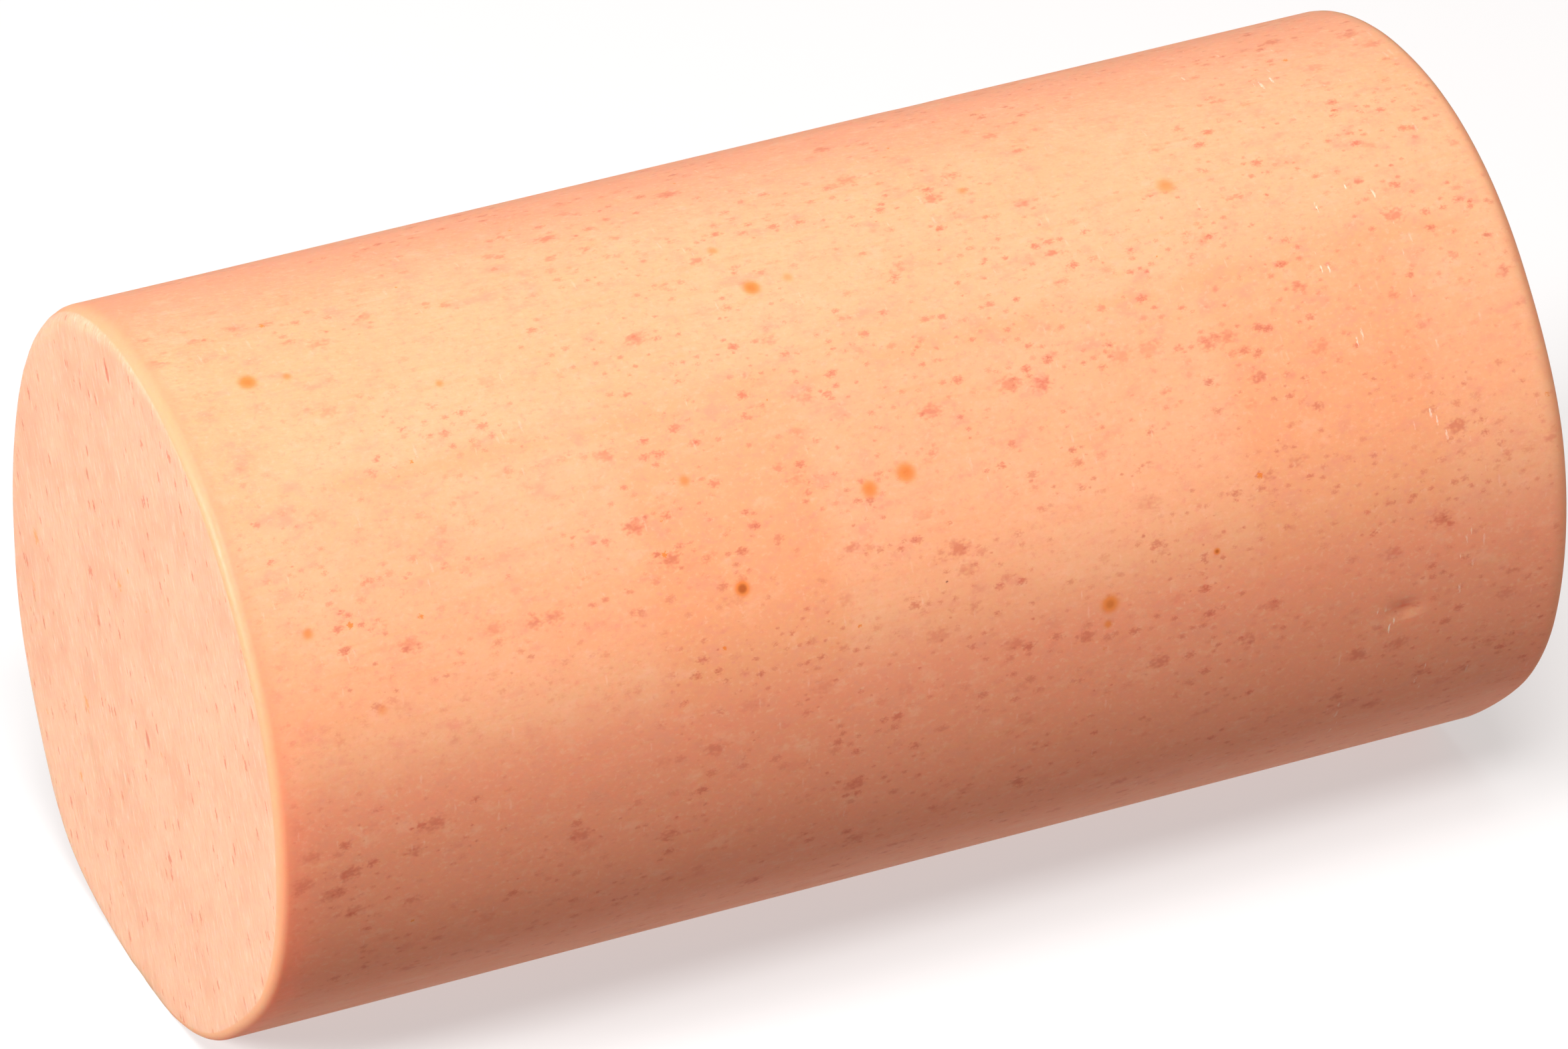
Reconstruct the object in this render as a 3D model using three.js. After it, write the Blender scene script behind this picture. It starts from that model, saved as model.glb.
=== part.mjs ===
// A chunk of fine cooked sausage, lying on its side: one piece of meat, peeled and cut across at both ends.
// Millimetres, +Z up, +X from the near cut face to the far one. The origin is on the surface that the
// sausage lies on, under the middle of its bounding box.
import * as THREE from "three";

// Driving dimensions.
const LENGTH = 130; // from one cut face to the other
const RADIUS = 35; // of the round casing that the meat was cooked in
const REST_HEIGHT = 33.9; // of the axis above the flat that the sausage's own weight presses into it
const TAPER = 0.014; // how much wider the far end is than the near end, as a share of the radius
const RIM_RADIUS = 1.8; // rounding of the two cut rims, where the soft meat drew back from the knife

// Where the soft meat leaves the true circle. Angles are in degrees round the axis, from +Y (the back)
// over +Z (the top). rise is how far the surface stands out, and spread is how wide the change is.
const SWELLS = [
  { angle: 5, rise: -2.5, spread: 36 }, // the back is pressed in
  { angle: 141, rise: -0.9, spread: 20 }, // a slight flat at the front of the top
  { angle: 181, rise: -0.5, spread: 20 }, // the front
  { angle: 227, rise: -1.1, spread: 18 }, // a slight flat low on the front
  { angle: 304, rise: 2.0, spread: 16 }, // meat pushed out beside the flat underneath
];

// Mesh fineness.
const OUTLINE_POINTS = 96;
const LENGTH_STEPS = 10;
const RIM_STEPS = 3;

// Signed difference between two angles in degrees, from -180 to 180.
function angleBetween(angle, other) {
  return THREE.MathUtils.euclideanModulo(angle - other + 180, 360) - 180;
}

// Distance from the axis to the surface, before the underside is pressed flat.
function radiusAt(angle) {
  return SWELLS.reduce((radius, swell) => {
    const away = angleBetween(angle, swell.angle) / swell.spread;
    return radius + swell.rise * Math.exp(-away * away);
  }, RADIUS);
}

// The outline across the sausage, with the shape's x to the back and its y up.
function crossSection() {
  const points = [];
  for (let i = 0; i < OUTLINE_POINTS; i++) {
    const angle = (360 * i) / OUTLINE_POINTS;
    const turn = THREE.MathUtils.degToRad(angle);
    const radius = radiusAt(angle);
    points.push(new THREE.Vector2(radius * Math.cos(turn), radius * Math.sin(turn)));
  }
  return new THREE.Shape(points);
}

// The outline drawn along the axis, with rounded rims, from x = -LENGTH / 2 to x = LENGTH / 2.
function roundBody() {
  const geometry = new THREE.ExtrudeGeometry(crossSection(), {
    depth: LENGTH - 2 * RIM_RADIUS,
    steps: LENGTH_STEPS,
    bevelEnabled: true,
    bevelThickness: RIM_RADIUS,
    bevelSize: RIM_RADIUS,
    bevelOffset: -RIM_RADIUS,
    bevelSegments: RIM_STEPS,
  });
  const back = new THREE.Vector3(0, 1, 0);
  const up = new THREE.Vector3(0, 0, 1);
  const along = new THREE.Vector3(1, 0, 0);
  geometry.translate(0, 0, RIM_RADIUS - LENGTH / 2);
  return geometry.applyMatrix4(new THREE.Matrix4().makeBasis(back, up, along));
}

// Widens the body towards its far end, then presses its underside flat at the rest height.
function taperAndRest(geometry) {
  const position = geometry.getAttribute("position");
  for (let i = 0; i < position.count; i++) {
    const widening = 1 + (TAPER * position.getX(i)) / LENGTH;
    position.setY(i, position.getY(i) * widening);
    position.setZ(i, Math.max(position.getZ(i) * widening, -REST_HEIGHT));
  }
  geometry.computeVertexNormals();
  return geometry;
}

// The whole piece, standing on z = 0 with its bounding box centred over the origin.
function sausage() {
  const geometry = taperAndRest(roundBody());
  geometry.computeBoundingBox();
  const centre = geometry.boundingBox.getCenter(new THREE.Vector3());
  const meat = new THREE.MeshStandardMaterial({ color: 0xf0b48c, roughness: 0.45, metalness: 0 });
  const mesh = new THREE.Mesh(geometry, meat);
  mesh.name = "sausage";
  mesh.position.set(-centre.x, -centre.y, REST_HEIGHT);
  return mesh;
}

const part = new THREE.Group();
part.add(sausage());

export default part;
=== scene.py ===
import math

import bpy
import numpy as np
from mathutils import Matrix, Vector, noise


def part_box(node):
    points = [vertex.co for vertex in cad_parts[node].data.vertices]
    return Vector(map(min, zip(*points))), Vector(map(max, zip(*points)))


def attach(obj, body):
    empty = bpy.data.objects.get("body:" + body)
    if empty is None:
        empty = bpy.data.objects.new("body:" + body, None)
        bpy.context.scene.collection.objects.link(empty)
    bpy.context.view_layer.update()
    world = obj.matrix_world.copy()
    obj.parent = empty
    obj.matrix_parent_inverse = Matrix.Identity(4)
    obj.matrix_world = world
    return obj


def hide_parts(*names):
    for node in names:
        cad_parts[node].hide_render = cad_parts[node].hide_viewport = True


# A chunk of fine cooked sausage: peeled, lying on its side, cut across at both ends. It is one piece of
# meat, so it is one mesh and one material. Sizes are in millimetres up to the last step of the mesh, which
# fits it to the CAD solid's box in metres. Angles go round the axis, in degrees: 0 is the back, 90 the
# top, 180 the front and 270 the underside. Distances along the axis are from the middle, near end first.

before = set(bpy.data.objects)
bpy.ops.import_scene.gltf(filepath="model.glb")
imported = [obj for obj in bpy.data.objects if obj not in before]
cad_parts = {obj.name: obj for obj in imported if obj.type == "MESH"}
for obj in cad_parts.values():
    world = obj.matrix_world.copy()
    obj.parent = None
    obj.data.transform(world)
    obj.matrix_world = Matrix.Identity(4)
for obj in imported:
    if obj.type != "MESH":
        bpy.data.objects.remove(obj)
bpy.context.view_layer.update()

MM = 0.001
LOW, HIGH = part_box("sausage")
LENGTH = (HIGH[0] - LOW[0]) / MM

# The outline across the sausage, as in the CAD solid.
RADIUS = 35.0
REST_HEIGHT = 33.9
TAPER = 0.014
SWELLS = (  # angle, rise, spread in degrees
    (5, -2.5, 36),
    (141, -0.9, 20),
    (181, -0.5, 20),
    (227, -1.1, 18),
    (304, 2.0, 16),
)
NEAR_RIM = 0.9  # rounding of the near rim at the front
NEAR_RIM_GROWTH = 1.6  # how much more of it there is where the rim is roundest, as a share
NEAR_RIM_ROUNDEST = 35.0
NEAR_RIM_SPREAD = 55.0
FAR_RIM = 1.2

# How finely the mesh is drawn.
AROUND = 384
AROUND_ANGLES = np.arange(AROUND) * 360.0 / AROUND
SIDE_RINGS = 190
RIM_RINGS = 6
SEAM_ANGLE = 270  # where the flat map of the side is cut open

# Relief in the mesh.
RIPPLE_HEIGHT = 0.05
RIPPLE_LENGTH = 24.0
RIPPLE_WIDTH = 7.0
CUT_RELIEF = 0.05
CUT_WAVE_LENGTH = 14.0
CUT_WAVE_WIDTH = 2.6
KNIFE_ANGLE = 68.0  # which way the knife was drawn across both cuts, in degrees from the back
# Small dents. The first one shows in the photo, and the others are guessed.
DENTS = (  # along, angle, half length, half width, depth
    (47.7, 185, 1.3, 0.6, 0.5),
    (-9.0, 97, 1.4, 1.2, 0.08),
    (22.0, 62, 2.2, 1.5, 0.15),
    (-34.0, 24, 3.5, 2.0, 0.18),
    (12.0, 318, 4.0, 2.2, 0.20),
)


def angle_between(a, b):
    return (a - b + 180.0) % 360.0 - 180.0


def section_radius(angle):
    """From the axis to the skin at mid-length."""
    radius = np.full_like(angle, RADIUS)
    for swell_angle, rise, spread in SWELLS:
        radius += rise * np.exp(-((angle_between(angle, swell_angle) / spread) ** 2))
    return radius


def ripple(x, angle):
    """Slow waves in the skin, longer along the sausage than round it."""
    turn = math.radians(angle)
    place = Vector((x / RIPPLE_LENGTH,
                    RADIUS * math.cos(turn) / RIPPLE_WIDTH,
                    RADIUS * math.sin(turn) / RIPPLE_WIDTH))
    return RIPPLE_HEIGHT * noise.noise(place)


def dent_depth(x, angle):
    depth = np.zeros_like(x)
    for along, dent_angle, half_length, half_width, deepest in DENTS:
        away_along = (x - along) / half_length
        away_around = RADIUS * np.radians(angle_between(angle, dent_angle)) / half_width
        depth += deepest * np.exp(-(away_along ** 2) - away_around ** 2)
    return depth


def cut_relief(y, z):
    """How far the knife left the cut face proud, in waves along its stroke."""
    stroke = math.radians(KNIFE_ANGLE)
    along = y * math.cos(stroke) + z * math.sin(stroke)
    across = z * math.cos(stroke) - y * math.sin(stroke)
    return CUT_RELIEF * noise.noise(Vector((along / CUT_WAVE_LENGTH, across / CUT_WAVE_WIDTH, 0.0)))


def near_rim_growth(angle):
    """How many times NEAR_RIM the rounding is: most towards the back of the top, 1 at the front."""
    away = angle_between(angle, NEAR_RIM_ROUNDEST) / NEAR_RIM_SPREAD
    return 1 + NEAR_RIM_GROWTH * np.exp(-(away ** 2))


def rim_profile(radius):
    """Rings from a cut face over its rounded rim: depth below the face, inset, and distance gone."""
    turns = [math.pi / 2 * step / RIM_RINGS for step in range(RIM_RINGS + 1)]
    return [(radius * (1 - math.cos(t)), radius * (1 - math.sin(t)), radius * t) for t in turns]


def profile():
    """Rings from the near cut face to the far one, as arrays round the sausage: place along the axis,
    inset, and distance past the edge of the nearer cut's colour."""
    half = LENGTH / 2
    growth = near_rim_growth(AROUND_ANGLES)
    level = np.ones(AROUND)
    wrapped = (growth - 1) * NEAR_RIM * math.pi / 2  # the cut's own colour runs this far over the rim
    near = [(depth * growth - half, inset * growth, edge * growth - wrapped)
            for depth, inset, edge in rim_profile(NEAR_RIM)]
    far = [((half - depth) * level, inset * level, edge * level)
           for depth, inset, edge in rim_profile(FAR_RIM)]
    start, end = near[-1], far[-1]
    middle = []
    for step in range(1, SIDE_RINGS):
        x = start[0] + (end[0] - start[0]) * step / SIDE_RINGS
        edge = np.minimum(start[2] + x - start[0], end[2] + end[0] - x)
        middle.append((x, 0.0 * level, edge))
    return near + middle + far[::-1]


def ring_points(x, inset, edge):
    """One ring of the skin, as x, y, z rows."""
    angle = AROUND_ANGLES
    turn = np.radians(angle)
    radius = section_radius(angle) - inset - dent_depth(x, angle)
    radius += np.array([ripple(*place) for place in zip(x, angle)])
    radius *= 1 + TAPER * x / LENGTH
    y = radius * np.cos(turn)
    z = np.maximum(radius * np.sin(turn), -REST_HEIGHT)
    rim_share = np.clip(1 - edge / NEAR_RIM, 0.0, 1.0)
    proud = np.array([cut_relief(*place) for place in zip(y, z)]) * rim_share
    return np.column_stack((x + np.sign(x) * proud, y, z))


def disc_grid(cells):
    """A square grid pulled round into a disc: each point's share of the radius, and its angle."""
    a, b = np.meshgrid(np.linspace(-1, 1, cells + 1), np.linspace(-1, 1, cells + 1), indexing="ij")
    wide = np.abs(a) > np.abs(b)
    share = np.where(wide, a, b)
    divisor = np.where(share == 0, 1.0, share)
    turn = np.where(wide, 45.0 * b / divisor, 90.0 - 45.0 * a / divisor)
    angle = np.where(share < 0, turn + 180.0, turn) % 360.0
    return np.abs(share), angle


class SausageMesh:
    """Collects the points and faces of the skin and the two cut faces, with a flat map for each."""

    MAP_WIDTH = 226.0
    SIDE_CHART = (3.0, 86.0)  # its lower left corner
    CUT_CHARTS = ((40.0, 41.0), (120.0, 41.0))  # their middles
    ON_RIM = 1 - 1e-9  # a grid point with a larger share of the radius is one of the ring's own

    def __init__(self):
        self.points = []
        self.edges = []
        self.faces = []
        self.map = []

    def build(self):
        rings = profile()
        self.add_side(rings)
        self.add_cut(0, rings[0], outwards=-1)
        self.add_cut(len(rings) - 1, rings[-1], outwards=1)

    def add_side(self, rings):
        for x, inset, edge in rings:
            self.points.extend(ring_points(x, inset, edge))
            self.edges.extend(edge)
        seam = SEAM_ANGLE * AROUND // 360
        chart_x, chart_y = self.SIDE_CHART
        step = 2 * math.pi * RADIUS / AROUND
        widths = [np.mean(np.hypot(b[0] - a[0], b[1] - a[1])) for a, b in zip(rings, rings[1:])]
        heights = np.concatenate(([0.0], np.cumsum(widths)))
        for ring in range(len(rings) - 1):
            for count in range(AROUND):
                here, there = (seam + count) % AROUND, (seam + count + 1) % AROUND
                near, far = ring * AROUND, (ring + 1) * AROUND
                self.faces.append((near + here, near + there, far + there, far + here))
                left, right = chart_x + count * step, chart_x + (count + 1) * step
                low, high = chart_y + heights[ring], chart_y + heights[ring + 1]
                self.map.append(((left, low), (right, low), (right, high), (left, high)))

    def add_cut(self, ring, rim, outwards):
        """A cut face inside one end ring, whose points it shares."""
        cells = AROUND // 4  # the grid has four sides
        share, angle = disc_grid(cells)
        x = float(rim[0][0])
        inset = np.interp(angle, AROUND_ANGLES, rim[1], period=360.0)
        edge = np.interp(angle, AROUND_ANGLES, rim[2], period=360.0)
        radius = (section_radius(angle) - inset) * (1 + TAPER * x / LENGTH)
        y = share * radius * np.cos(np.radians(angle))
        z = share * radius * np.sin(np.radians(angle))
        number = np.zeros(share.shape, dtype=int)
        for index in np.ndindex(share.shape):
            if share[index] > self.ON_RIM:
                number[index] = ring * AROUND + round(angle[index] * AROUND / 360.0) % AROUND
                continue
            number[index] = len(self.points)
            proud = cut_relief(y[index], z[index])
            self.points.append((x + outwards * proud, y[index], z[index]))
            self.edges.append(edge[index] - (1 - share[index]) * radius[index])
        centre_u, centre_v = self.CUT_CHARTS[0 if outwards < 0 else 1]
        for i, j in np.ndindex(cells, cells):
            corners = [(i, j), (i + 1, j), (i + 1, j + 1), (i, j + 1)][::outwards]
            self.faces.append(tuple(int(number[c]) for c in corners))
            self.map.append(tuple((centre_u + y[c], centre_v + z[c]) for c in corners))


def fit_to_cad(points):
    """Millimetres to metres, filling the CAD solid's box."""
    points = np.asarray(points)
    low, high = points.min(axis=0), points.max(axis=0)
    share = (points - low) / (high - low)
    return np.array(LOW) + share * (np.array(HIGH) - np.array(LOW))


def make_sausage():
    drawn = SausageMesh()
    drawn.build()
    mesh = bpy.data.meshes.new("sausage_chunk")
    mesh.from_pydata(fit_to_cad(drawn.points).tolist(), [], drawn.faces)
    mesh.polygons.foreach_set("use_smooth", [True] * len(drawn.faces))
    edge = mesh.attributes.new("edge", "FLOAT", "POINT")
    edge.data.foreach_set("value", drawn.edges)
    flat = mesh.uv_layers.new(name="OFBake")
    flat.data.foreach_set("uv", (np.array(drawn.map).reshape(-1) / SausageMesh.MAP_WIDTH).tolist())
    mesh.update()
    piece = bpy.data.objects.new("sausage_chunk", mesh)
    bpy.context.scene.collection.objects.link(piece)
    return piece


# ---------------------------------------------------------------------------------------------------------
# Material


def srgb(red, green, blue):
    """A colour given as 0 to 255 screen values, as the linear numbers that shaders take."""
    def linear(value):
        share = value / 255.0
        return share / 12.92 if share <= 0.04045 else ((share + 0.055) / 1.055) ** 2.4
    return (linear(red), linear(green), linear(blue), 1.0)


SKIN_CREAM = srgb(235, 176, 136)
SKIN_ORANGE = srgb(233, 163, 118)
SKIN_PALE = srgb(238, 184, 149)
SKIN_PINK = srgb(230, 158, 127)
# Painted shade: a darker, redder skin colour laid over the lower side and towards the back.
PAINTED_SHADE_SKIN = srgb(236, 156, 122)
CUT_PINK = srgb(222, 173, 143)
CUT_ROSE = srgb(212, 155, 126)
CUT_PALE = srgb(230, 188, 161)
RIM_YELLOW = srgb(220, 157, 120)
FLECK_RED = srgb(200, 92, 66)
FLECK_MAUVE = srgb(208, 116, 108)
AMBER = srgb(228, 134, 54)
AMBER_DEEP = srgb(180, 88, 32)
DOT_DARK = srgb(120, 52, 34)
# Painted highlight: the pale colour of glints on the skin's fibres and on the cut face.
GLINT_PALE = srgb(248, 222, 200)

SKIN_BANDS = (  # middle, half width, strength of the more orange bands round the front
    (-18.0, 9.0, 0.75),
    (42.5, 10.0, 0.70),
)
BAND_EDGE = 1.6
BANDS_FROM, BANDS_FULL = -10.5, -28.0  # y, towards the front
# Where the painted shade lies: below the axis and towards the back.
PAINTED_SHADE_LOW_FROM, PAINTED_SHADE_LOW_FULL = 10.0, 3.0  # height over the axis, downwards
PAINTED_SHADE_BEHIND_FROM, PAINTED_SHADE_BEHIND_FULL = -4.0, 14.0  # y, towards the back
CREASE_ANGLE = 125.0
CREASE_HALF_WIDTH = 2.2
FLECK_STRETCH = 1.5  # how much longer the flecks are along the sausage than round it
FLECK_LAYERS = (  # spacing, share, smallest and largest radius, strength, shift
    (2.6, 0.70, 0.22, 0.60, 0.58, 2.4),
    (1.3, 0.90, 0.12, 0.32, 0.62, 6.6),
    (0.8, 0.80, 0.08, 0.20, 0.52, 4.1),
)
# Where the painted glints on the skin are thickest, and how drawn out they are.
FIBRE_GLINTS_ALONG = 48.5
FIBRE_GLINT_STRETCH = 4.5
RIM_LINE_WIDTH = 2.9

# Shine, relief and how light spreads in the meat.
CUT_ROUGHNESS = 0.55
SKIN_SMOOTHEST, SKIN_ROUGHEST = 0.46, 0.58
BUMP_HEIGHT = 0.03
MEAT_IOR = 1.4
MEAT_SPECULAR = 0.35
SCATTER_SHARES = (1.0, 0.28, 0.16)  # red light goes furthest
SCATTER_LENGTH = 3.8
JUICE_COAT = 0.15
JUICE_ROUGHNESS = 0.4
JUICE_IOR = 1.5

RED_MARKS = (  # y and z from the axis, half length, half width: on the near cut face
    (3.8, 30.3, 0.85, 0.35),
    (-2.5, -5.1, 1.0, 0.40),
)

# Amber spots, placed one by one where they lie in the photo.
AMBER_SPOTS = (  # along, angle, radius, strength
    (-56.2, 103.6, 0.80, 0.75),
    (-52.6, 104.3, 0.42, 0.55),
    (-39.8, 112.2, 0.38, 0.50),
    (-9.6, 99.5, 0.50, 0.45),
    (-8.2, 108.6, 0.75, 0.75),
    (-4.5, 108.3, 0.50, 0.40),
    (15.6, 99.5, 0.50, 0.40),
    (33.9, 108.2, 0.85, 0.50),
    (-21.1, 136.3, 0.50, 0.50),
    (-4.2, 144.3, 0.75, 0.65),
    (-0.4, 143.2, 0.85, 0.70),
    (-18.3, 154.2, 0.62, 1.00),
    (17.1, 170.7, 0.80, 0.80),
    (16.8, 174.0, 0.40, 0.60),
    (28.2, 166.6, 0.30, 1.00),
    (-59.0, 145.1, 0.50, 0.60),
    (-53.8, 158.8, 0.50, 0.40),
)


class Graph:
    """Adds nodes to one material, so that the material reads as a formula."""

    def __init__(self, name):
        self.material = bpy.data.materials.new(name)
        self.material.use_nodes = True
        self.tree = self.material.node_tree
        self.shader = self.tree.nodes["Principled BSDF"]

    def add(self, kind, inputs, **settings):
        """A node of that kind. An input is named or numbered, and holds a socket or a value."""
        node = self.tree.nodes.new("ShaderNode" + kind)
        for name, value in settings.items():
            setattr(node, name, value)
        for name, value in inputs.items():
            if isinstance(value, bpy.types.NodeSocket):
                self.tree.links.new(value, node.inputs[name])
            else:
                node.inputs[name].default_value = value
        return node

    def math(self, operation, a, b=0.0):
        return self.add("Math", {0: a, 1: b}, operation=operation).outputs[0]

    def vector(self, operation, a, b=(0.0, 0.0, 0.0), output=0):
        return self.add("VectorMath", {0: a, 1: b}, operation=operation).outputs[output]

    def step(self, value, start, end, low=0.0, high=1.0):
        """low where value is at start, high where it is at end, with a smooth change between."""
        inputs = {"Value": value, "From Min": start, "From Max": end, "To Min": low, "To Max": high}
        return self.add("MapRange", inputs, interpolation_type="SMOOTHSTEP").outputs[0]

    def mix(self, share, a, b):
        return self.add("Mix", {0: share, 6: a, 7: b}, data_type="RGBA").outputs[2]

    def tint(self, colour, other, value, start, end, strength):
        """colour, moved towards other by strength as value goes from start to end."""
        return self.mix(self.step(value, start, end, 0.0, strength), colour, other)

    def cover(self, colour, other, share, strength):
        """colour, covered by other where share is 1, as thickly as strength says."""
        return self.mix(self.math("MULTIPLY", share, strength), colour, other)

    def noise(self, place, detail=2.0, roughness=0.5):
        inputs = {"Vector": place, "Scale": 1.0, "Detail": detail, "Roughness": roughness}
        return self.add("TexNoise", inputs).outputs[0]

    def cells(self, place):
        """Distance to the nearest of many scattered points, and three random numbers for that point."""
        node = self.add("TexVoronoi", {"Vector": place, "Scale": 1.0, "Randomness": 1.0})
        draws = self.add("SeparateColor", {0: node.outputs["Color"]})
        return node.outputs["Distance"], draws.outputs[0], draws.outputs[1], draws.outputs[2]

    def stretch(self, place, x, y, z, shift=0.0):
        """place in units of x, y and z millimetres, moved by shift so that two patterns differ."""
        scaled = self.vector("MULTIPLY", place, (1.0 / x, 1.0 / y, 1.0 / z))
        return self.vector("ADD", scaled, (shift, shift * 0.7, -shift * 1.3))

    def flecks(self, place, spacing, share, smallest, largest, soft, shift):
        """Soft ragged spots: 1 inside one. share of the scattered points have one, of a random radius."""
        distance, chance, size, tint = self.cells(self.stretch(place, spacing, spacing, spacing, shift))
        radius = self.step(size, 0.0, 1.0, smallest / spacing, largest / spacing)
        inside = self.math("DIVIDE", distance, radius)
        grain = largest * 0.55  # small enough to make the outline ragged
        ragged = self.noise(self.stretch(place, grain, grain, grain, shift), detail=1.0)
        inside = self.math("ADD", inside, self.step(ragged, 0.2, 0.8, -0.6, 0.6))
        shape = self.step(inside, 1.0 + soft, 1.0 - soft)
        return self.math("MULTIPLY", shape, self.math("LESS_THAN", chance, share)), tint


def surface_point(along, angle):
    """A point on the skin in the frame, in millimetres."""
    radius = float(section_radius(np.array([float(angle)]))[0])
    y = radius * math.cos(math.radians(angle))
    z = radius * math.sin(math.radians(angle))
    return (along, AXIS[0] + y, AXIS[1] + z)


def axis_place():
    """Where the sausage's axis lies in the frame, as y and z in millimetres."""
    y = section_radius(AROUND_ANGLES) * np.cos(np.radians(AROUND_ANGLES))
    return (-(y.max() + y.min()) / 2, REST_HEIGHT)


AXIS = axis_place()


def amber_spots(g, place):
    """The spots of AMBER_SPOTS: 1 at the middle of a strong one."""
    total = None
    for along, angle, radius, strength in AMBER_SPOTS:
        away = g.vector("DISTANCE", place, surface_point(along, angle), output=1)
        spot = g.step(away, radius * 1.8, radius * 0.2, 0.0, strength)
        total = spot if total is None else g.math("MAXIMUM", total, spot)
    return total


def red_marks(g, turned):
    """The few long red marks on the near cut face, drawn along the knife's stroke."""
    turn = Matrix.Rotation(-math.radians(KNIFE_ANGLE), 3, "X")
    total = None
    for y, z, half_length, half_width in RED_MARKS:
        middle = turn @ Vector((-LENGTH / 2, AXIS[0] + y, AXIS[1] + z))
        away = g.vector("SUBTRACT", turned, middle)
        away = g.vector("MULTIPLY", away, (1.0, 1.0 / half_length, 1.0 / half_width))
        mark = g.step(g.vector("LENGTH", away, output=1), 1.3, 0.5)
        total = mark if total is None else g.math("MAXIMUM", total, mark)
    return total


def skin_bands(g, place, along):
    """Slightly more orange bands, which fade out towards the top and the back."""
    front = g.add("SeparateXYZ", {0: place}).outputs[1]
    total = None
    for middle, half_width, strength in SKIN_BANDS:
        away = g.math("ABSOLUTE", g.math("SUBTRACT", along, middle))
        band = g.step(away, half_width + BAND_EDGE, half_width - BAND_EDGE, 0.0, strength)
        total = band if total is None else g.math("ADD", total, band)
    return g.math("MULTIPLY", total, g.step(front, BANDS_FROM, BANDS_FULL))


def skin_crease(g, place):
    """A faint, broken orange line along the whole skin, at one angle."""
    flat = g.vector("MULTIPLY", place, (0.0, 1.0, 1.0))
    away = g.vector("DISTANCE", flat, surface_point(0.0, CREASE_ANGLE), output=1)
    broken = g.noise(g.stretch(place, 9.0, 3.0, 3.0, shift=12.9), detail=2.0)
    return g.math("MULTIPLY", g.step(away, CREASE_HALF_WIDTH, 0.2), g.step(broken, 0.35, 0.62))


def skin_colour(g, place, along):
    patches = g.noise(g.stretch(place, 24.0, 15.0, 15.0, shift=3.1), detail=2.0)
    colour = g.tint(SKIN_CREAM, SKIN_ORANGE, patches, start=0.38, end=0.72, strength=0.40)
    colour = g.mix(skin_bands(g, place, along), colour, SKIN_ORANGE)
    across = g.add("SeparateXYZ", {0: place})
    # Painted shade: the skin is darkened and reddened below the axis and towards the back.
    low = g.step(across.outputs[2], AXIS[1] + PAINTED_SHADE_LOW_FROM, AXIS[1] + PAINTED_SHADE_LOW_FULL)
    behind = g.step(across.outputs[1], PAINTED_SHADE_BEHIND_FROM, PAINTED_SHADE_BEHIND_FULL)
    colour = g.cover(colour, PAINTED_SHADE_SKIN, g.math("MAXIMUM", low, behind), strength=0.85)
    colour = g.cover(colour, SKIN_ORANGE, skin_crease(g, place), strength=0.6)
    clouds = g.noise(g.stretch(place, 3.0, 2.0, 2.0, shift=7.7), detail=4.0, roughness=0.6)
    colour = g.tint(colour, SKIN_PINK, clouds, start=0.50, end=0.76, strength=0.85)
    colour = g.tint(colour, SKIN_PALE, clouds, start=0.46, end=0.26, strength=0.50)
    streaks = g.noise(g.stretch(place, 14.0, 0.7, 0.7, shift=1.3), detail=3.0)
    colour = g.tint(colour, SKIN_ORANGE, streaks, start=0.52, end=0.76, strength=0.35)
    grain = g.noise(g.stretch(place, 0.60, 0.45, 0.45, shift=5.9), detail=3.0, roughness=0.7)
    colour = g.tint(colour, SKIN_PINK, grain, start=0.52, end=0.76, strength=0.90)
    return g.tint(colour, SKIN_PALE, grain, start=0.48, end=0.26, strength=0.60)


def fleck_crowd(g, place, along):
    """How thickly the flecks lie: in patches, more towards the far end and on the front."""
    crowd = g.noise(g.stretch(place, 12.0, 9.0, 9.0, shift=9.2), detail=1.0)
    crowd = g.math("ADD", crowd, g.step(along, -65.0, 5.0, low=-0.14, high=0.04))
    back = g.add("SeparateXYZ", {0: place}).outputs[1]
    crowd = g.math("ADD", crowd, g.step(back, -18.0, 0.0, low=0.0, high=-0.08))
    return g.step(crowd, 0.30, 0.54, low=0.32, high=1.0)


def add_flecks(g, colour, place, along):
    """Soft pink and red flecks, with a few amber and dark dots."""
    crowd = fleck_crowd(g, place, along)
    drawn = g.stretch(place, FLECK_STRETCH, 1.0, 1.0)
    for spacing, share, smallest, largest, strength, shift in FLECK_LAYERS:
        spots, tint = g.flecks(drawn, spacing, share, smallest, largest, 0.75, shift)
        fleck = g.mix(g.step(tint, 0.60, 0.90), FLECK_RED, FLECK_MAUVE)
        faint = g.step(tint, 0.0, 0.9, low=1.0, high=0.25)
        amount = g.math("MULTIPLY", g.math("MULTIPLY", spots, crowd), g.math("MULTIPLY", faint, strength))
        colour = g.mix(amount, colour, fleck)
    dots, _ = g.flecks(place, spacing=3.4, share=0.16, smallest=0.10, largest=0.26, soft=0.35, shift=11.3)
    colour = g.cover(colour, AMBER, dots, strength=0.9)
    dark, _ = g.flecks(place, spacing=8.0, share=0.12, smallest=0.07, largest=0.14, soft=0.3, shift=14.9)
    return g.cover(colour, DOT_DARK, dark, strength=0.8)


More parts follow.
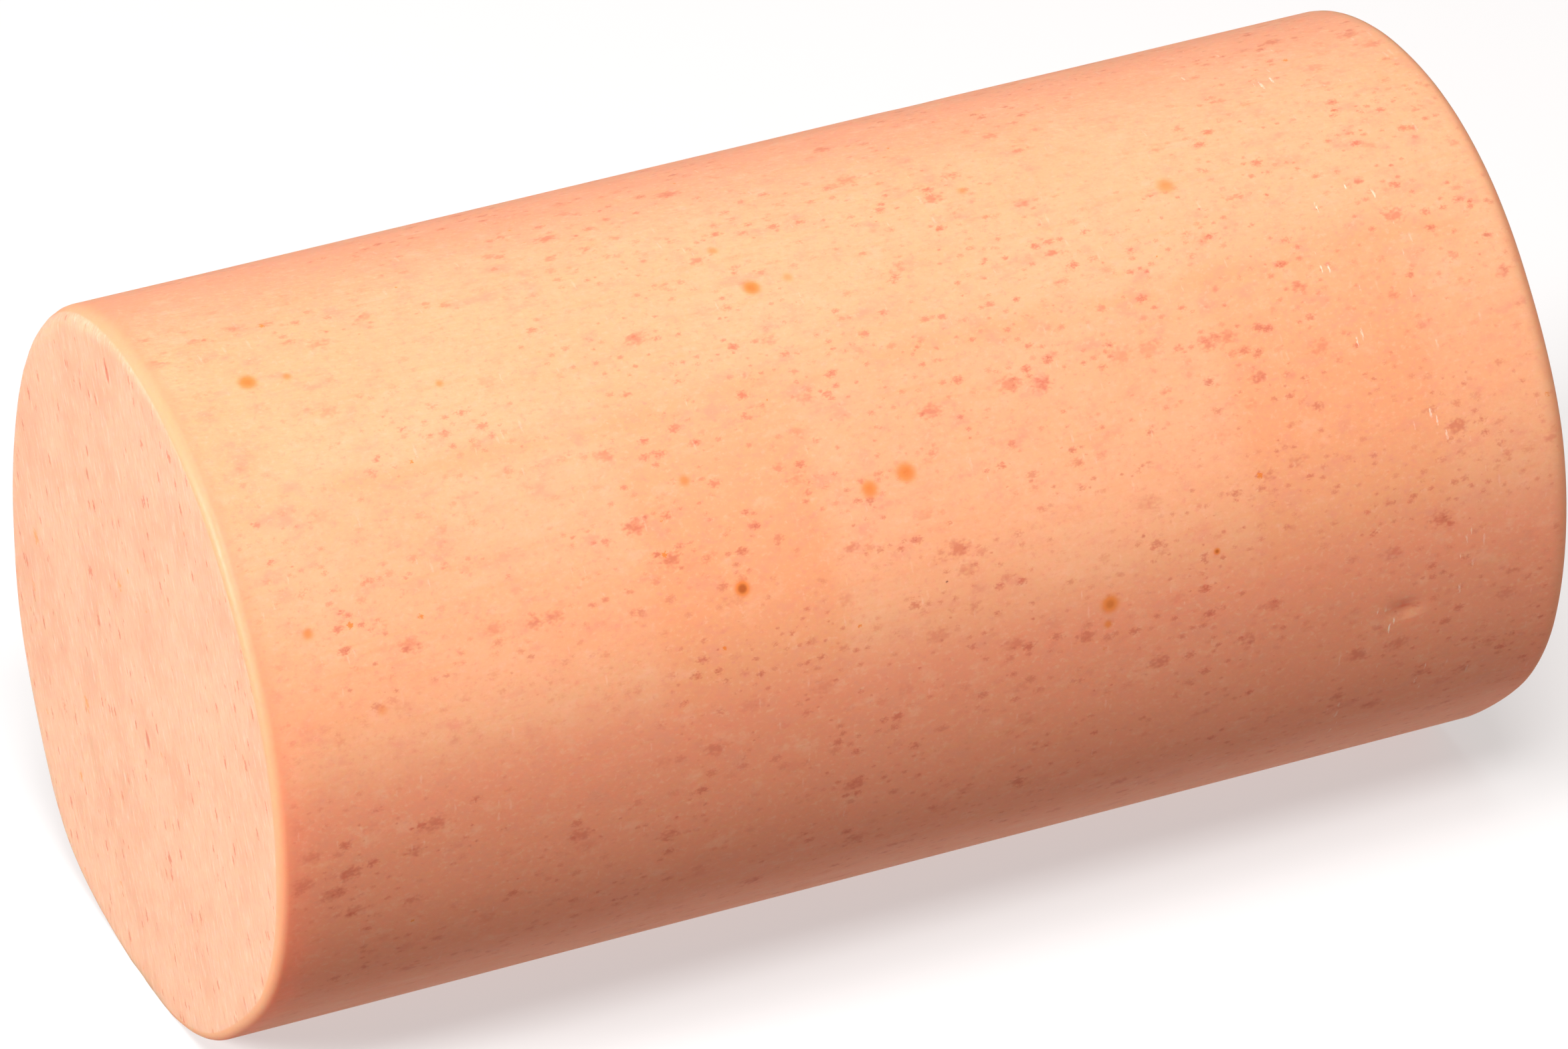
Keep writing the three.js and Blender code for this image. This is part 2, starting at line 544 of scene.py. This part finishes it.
def add_fibre_glints(g, colour, place, along):
    """Painted highlights: short pale strokes that run round the skin as glints on raised fibres, thickest
    near the far end.
    """
    away = g.vector("SUBTRACT", place, (0.0, AXIS[0], AXIS[1]))
    across = g.add("SeparateXYZ", {0: away})
    turn = g.math("ARCTAN2", across.outputs[1], across.outputs[2])
    unrolled = g.add("CombineXYZ", {0: along, 1: g.math("MULTIPLY", turn, RADIUS)}).outputs[0]
    drawn = g.stretch(unrolled, 1.0, FIBRE_GLINT_STRETCH, 1.0)
    fibre_glints, _ = g.flecks(drawn, spacing=0.60, share=0.35, smallest=0.06, largest=0.12, soft=0.4, shift=17.3)
    away = g.math("ABSOLUTE", g.math("SUBTRACT", along, FIBRE_GLINTS_ALONG))
    near = g.step(away, 9.0, 2.0, low=0.2, high=1.0)
    patches = g.step(g.noise(g.stretch(place, 5.0, 5.0, 5.0, shift=19.1)), 0.48, 0.60)
    return g.mix(g.math("MULTIPLY", g.math("MULTIPLY", fibre_glints, near), patches), colour, GLINT_PALE)


def cut_colour(g, place):
    """The cut face: even pink meat with fine marks drawn along the knife's stroke.

    Also gives the pattern of those marks, for the relief.
    """
    stroke = {"Axis": (1.0, 0.0, 0.0), "Angle": -math.radians(KNIFE_ANGLE), "Center": (0.0, 0.0, 0.0)}
    turned = g.add("VectorRotate", {"Vector": place, **stroke}).outputs[0]
    clouds = g.noise(g.stretch(place, 6.0, 6.0, 6.0, shift=4.2), detail=4.0)
    colour = g.tint(CUT_PINK, CUT_ROSE, clouds, start=0.42, end=0.70, strength=0.6)
    drag = g.noise(g.stretch(turned, 0.4, 1.8, 0.36, shift=8.1), detail=3.0, roughness=0.6)
    colour = g.tint(colour, CUT_ROSE, drag, start=0.52, end=0.74, strength=0.85)
    colour = g.tint(colour, CUT_PALE, drag, start=0.48, end=0.26, strength=0.9)
    grain = g.noise(g.stretch(turned, 0.4, 0.9, 0.3, shift=2.9), detail=3.0, roughness=0.7)
    colour = g.tint(colour, CUT_ROSE, grain, start=0.52, end=0.74, strength=0.55)
    drawn = g.stretch(turned, 1.0, 3.2, 1.0)
    dashes, tint = g.flecks(drawn, spacing=0.9, share=0.65, smallest=0.07, largest=0.18, soft=0.5, shift=3.3)
    dash = g.mix(g.step(tint, 0.45, 0.75), FLECK_RED, CUT_ROSE)
    colour = g.cover(colour, dash, dashes, strength=0.70)
    # Painted highlights: small pale specks drawn along the stroke, standing in for glints on the moist cut
    # face.
    drawn = g.stretch(turned, 1.0, 2.4, 1.0)
    pale, _ = g.flecks(drawn, spacing=1.5, share=0.30, smallest=0.07, largest=0.16, soft=0.4, shift=13.9)
    colour = g.cover(colour, GLINT_PALE, pale, strength=0.5)
    drawn = g.stretch(turned, 1.0, 1.6, 1.0)
    specks, tint = g.flecks(drawn, spacing=3.2, share=0.30, smallest=0.15, largest=0.45,
                            soft=0.45, shift=5.3)
    fleck = g.mix(g.step(tint, 0.45, 0.75), FLECK_RED, AMBER)
    colour = g.cover(colour, fleck, specks, strength=0.60)
    colour = g.cover(colour, FLECK_RED, red_marks(g, turned), strength=0.65)
    return colour, drag


def whole_skin(g, place, edge):
    """The skin's colour with everything on it, and the yellower line beside the rims."""
    along = g.add("SeparateXYZ", {0: place}).outputs[0]
    skin = skin_colour(g, place, along)
    skin = add_flecks(g, skin, place, along)
    # Painted highlights: pale glints on raised fibres.
    skin = add_fibre_glints(g, skin, place, along)
    amber = amber_spots(g, place)
    skin = g.tint(skin, AMBER, amber, start=0.0, end=0.7, strength=0.85)
    skin = g.tint(skin, AMBER_DEEP, amber, start=0.6, end=1.0, strength=0.8)
    return g.mix(g.step(edge, RIM_LINE_WIDTH, 0.6), skin, RIM_YELLOW)


def sausage_material():
    g = Graph("sausage_meat")
    place = g.vector("SCALE", g.add("TexCoord", {}).outputs["Object"])
    place.node.inputs["Scale"].default_value = 1.0 / MM
    edge = g.add("Attribute", {}, attribute_name="edge").outputs["Fac"]
    skin = whole_skin(g, place, edge)
    cut, drag = cut_colour(g, place)
    on_skin = g.step(edge, -0.12, 0.12)
    g.tree.links.new(g.mix(on_skin, cut, skin), g.shader.inputs["Base Color"])

    shine = g.noise(g.stretch(place, 6.0, 2.0, 2.0, shift=2.2), detail=3.0)
    skin_rough = g.step(shine, 0.3, 0.7, low=SKIN_SMOOTHEST, high=SKIN_ROUGHEST)
    rough = g.add("Mix", {0: on_skin, 2: CUT_ROUGHNESS, 3: skin_rough}, data_type="FLOAT").outputs[0]
    g.tree.links.new(rough, g.shader.inputs["Roughness"])

    fine = g.noise(g.stretch(place, 0.8, 0.35, 0.35, shift=6.1), detail=3.0)
    height = g.add("Mix", {0: on_skin, 2: drag, 3: fine}, data_type="FLOAT").outputs[0]
    bump = g.add("Bump", {"Strength": 1.0, "Distance": BUMP_HEIGHT * MM, "Height": height})
    g.tree.links.new(bump.outputs[0], g.shader.inputs["Normal"])

    g.shader.inputs["IOR"].default_value = MEAT_IOR
    g.shader.inputs["Specular IOR Level"].default_value = MEAT_SPECULAR
    g.shader.inputs["Subsurface Weight"].default_value = 1.0
    g.shader.inputs["Subsurface Radius"].default_value = SCATTER_SHARES
    g.shader.inputs["Subsurface Scale"].default_value = SCATTER_LENGTH * MM
    g.shader.inputs["Coat Weight"].default_value = JUICE_COAT
    g.shader.inputs["Coat Roughness"].default_value = JUICE_ROUGHNESS
    g.shader.inputs["Coat IOR"].default_value = JUICE_IOR
    return g.material


# ---------------------------------------------------------------------------------------------------------
# Floor, light and camera: distances in metres, angles in degrees


MIDDLE = Vector((0.0, AXIS[0] * MM, AXIS[1] * MM))
LIGHT_DISTANCE = 1.2
LIGHT_SIZE = 0.3
SOFTBOXES = (  # name, azimuth, elevation, power in watts
    ("left", -83, 25, 16.6),
    ("left_high", -60, 62, 2.5),
    ("front_high", -20, 57, 9.6),
    ("overhead", 30, 78, 1.6),
)
WORLD_COLOUR = (1.0, 0.72, 0.62, 1.0)
WORLD_AROUND = 0.13
WORLD_BELOW = 0.50
WORLD_BEHIND = 0.32
WORLD_BEHIND_AZIMUTH = 115
CAMERA_SENSOR = 36.0
CAMERA_LENS = 215.0
CAMERA_AZIMUTH = -25.13
CAMERA_ELEVATION = 32.05
CAMERA_DISTANCE = 0.87607
CAMERA_RIGHT = 0.00025
CAMERA_UP = -0.00057
FLOOR_HALF = 1.5
FLOOR_GREY = (0.4, 0.4, 0.4, 1.0)
FLOOR_GLOW = 0.5  # keeps the shadow as pale as a studio's


def make_floor():
    half = FLOOR_HALF
    corners = [(-half, -half, 0), (half, -half, 0), (half, half, 0), (-half, half, 0)]
    mesh = bpy.data.meshes.new("floor")
    mesh.from_pydata(corners, [], [(0, 1, 2, 3)])
    floor = bpy.data.objects.new("floor", mesh)
    bpy.context.scene.collection.objects.link(floor)
    paint = bpy.data.materials.new("pale_floor")
    paint.use_nodes = True
    shader = paint.node_tree.nodes["Principled BSDF"]
    shader.inputs["Base Color"].default_value = FLOOR_GREY
    shader.inputs["Roughness"].default_value = 0.9
    shader.inputs["Emission Color"].default_value = (1.0, 1.0, 1.0, 1.0)
    shader.inputs["Emission Strength"].default_value = FLOOR_GLOW
    floor.data.materials.append(paint)
    for rays in ("visible_diffuse", "visible_glossy", "visible_transmission", "visible_shadow"):
        setattr(floor, rays, False)  # the floor sends no light up to the sausage: the world below does


def direction(azimuth, elevation):
    """The way from the object to a viewer or a lamp: azimuth 0 is the front and -90 is the near end."""
    a, e = math.radians(azimuth), math.radians(elevation)
    return Vector((math.sin(a) * math.cos(e), -math.cos(a) * math.cos(e), math.sin(e)))


def softbox(name, azimuth, elevation, distance, size, power):
    lamp = bpy.data.lights.new(name, "AREA")
    lamp.size = size
    lamp.energy = power
    light = bpy.data.objects.new(name, lamp)
    away = direction(azimuth, elevation)
    light.location = MIDDLE + away * distance
    light.rotation_euler = away.to_track_quat("Z", "Y").to_euler()
    light.visible_camera = False
    bpy.context.scene.collection.objects.link(light)


def make_camera():
    back = direction(CAMERA_AZIMUTH, CAMERA_ELEVATION)
    right = Vector((0.0, 0.0, 1.0)).cross(back).normalized()
    up = back.cross(right)
    data = bpy.data.cameras.new("camera")
    data.sensor_width = CAMERA_SENSOR
    data.lens = CAMERA_LENS
    camera = bpy.data.objects.new("camera", data)
    place = MIDDLE + back * CAMERA_DISTANCE + right * CAMERA_RIGHT + up * CAMERA_UP
    turn = Matrix((right, up, back)).transposed().to_4x4()
    camera.matrix_world = Matrix.Translation(place) @ turn
    bpy.context.scene.collection.objects.link(camera)
    bpy.context.scene.camera = camera


def make_world():
    """Warm light thrown back by the room: a little all round, more from below and from behind."""
    world = bpy.data.worlds.new("studio")
    world.use_nodes = True
    tree = world.node_tree
    way = tree.nodes.new("ShaderNodeTexCoord").outputs["Generated"]
    total = None
    below, behind = Vector((0, 0, -1)), direction(WORLD_BEHIND_AZIMUTH, 0)
    for towards, strength in ((below, WORLD_BELOW), (behind, WORLD_BEHIND)):
        facing = tree.nodes.new("ShaderNodeVectorMath")
        facing.operation = "DOT_PRODUCT"
        facing.inputs[1].default_value = towards
        tree.links.new(way, facing.inputs[0])
        fade = tree.nodes.new("ShaderNodeMapRange")
        fade.interpolation_type = "SMOOTHSTEP"
        fade.inputs["To Max"].default_value = strength
        tree.links.new(facing.outputs["Value"], fade.inputs["Value"])
        add = tree.nodes.new("ShaderNodeMath")
        add.inputs[1].default_value = WORLD_AROUND
        tree.links.new(fade.outputs[0], add.inputs[0])
        if total:
            tree.links.new(total, add.inputs[1])
        total = add.outputs[0]
    tree.links.new(total, tree.nodes["Background"].inputs["Strength"])
    tree.nodes["Background"].inputs["Color"].default_value = WORLD_COLOUR
    bpy.context.scene.world = world


def make_light():
    make_world()
    for name, azimuth, elevation, power in SOFTBOXES:
        softbox(name, azimuth, elevation, LIGHT_DISTANCE, LIGHT_SIZE, power)


make_camera()
make_floor()
make_light()
bpy.context.scene.view_settings.view_transform = "Standard"

sausage = make_sausage()
sausage.data.materials.append(sausage_material())
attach(sausage, "root")
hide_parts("sausage")
